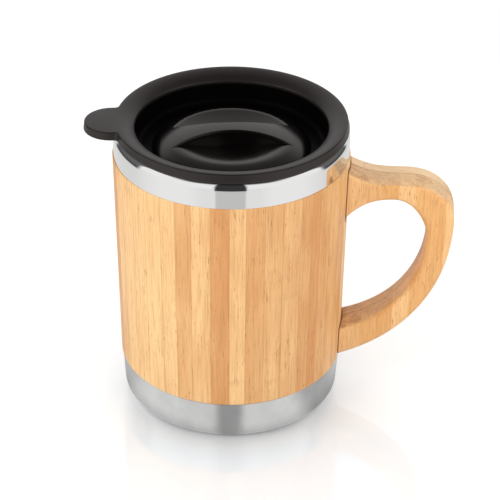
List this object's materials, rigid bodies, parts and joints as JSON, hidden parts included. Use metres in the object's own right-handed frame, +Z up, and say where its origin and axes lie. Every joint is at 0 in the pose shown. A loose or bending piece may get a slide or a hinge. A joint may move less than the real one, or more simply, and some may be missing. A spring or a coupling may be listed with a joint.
{
  "type": "lidded bamboo mug",
  "caption": "Insulated travel mug: steel liner in a bamboo sleeve, steel foot, bamboo side handle and a push-in lid with a pull tab and a turning closure.",
  "frame": {"origin": "on the cup's axis, in the plane of the ring that stands on the table", "axes": "+Z up along the cup's axis, +X out along the handle, -Y the side that the lid's sip port is on"},
  "size_m": [0.1309, 0.084, 0.1097],
  "materials": {
    "polished_steel": "mirror polished",
    "brushed_steel": "brushed round the axis",
    "screw_steel": "plain",
    "bamboo": "satin lacquer over upright strips",
    "handle_bamboo": "satin lacquer over bent plies",
    "support_plastic": "plain moulded",
    "matte_black": "soft matte",
    "gloss_black": "high gloss",
    "seal_rubber": "soft"
  },
  "bodies": {
    "cup": {"inner_liner": "polished_steel", "bamboo_sleeve": "bamboo", "base_cup": "brushed_steel", "liner_support": "support_plastic", "handle": "handle_bamboo", "handle_screws": "screw_steel", "handle_washers": "screw_steel"},
    "lid": {"lid_rim": "matte_black", "lid_seal": "seal_rubber", "lid_bowl": "gloss_black"},
    "closure": {"closure_knob": "gloss_black", "closure_gasket": "seal_rubber", "closure_retainer": "matte_black"}
  },
  "joints": [
    {"name": "lid_lift", "type": "slide", "parent": "cup", "child": "lid", "axis": [0, 0, 1], "range_m": [0, 0.06]},
    {"name": "closure_turn", "type": "hinge", "parent": "lid", "child": "closure", "pos_m": [0, 0, 0.1], "axis": [0, 0, 1], "range_deg": [0, 75]}
  ]
}
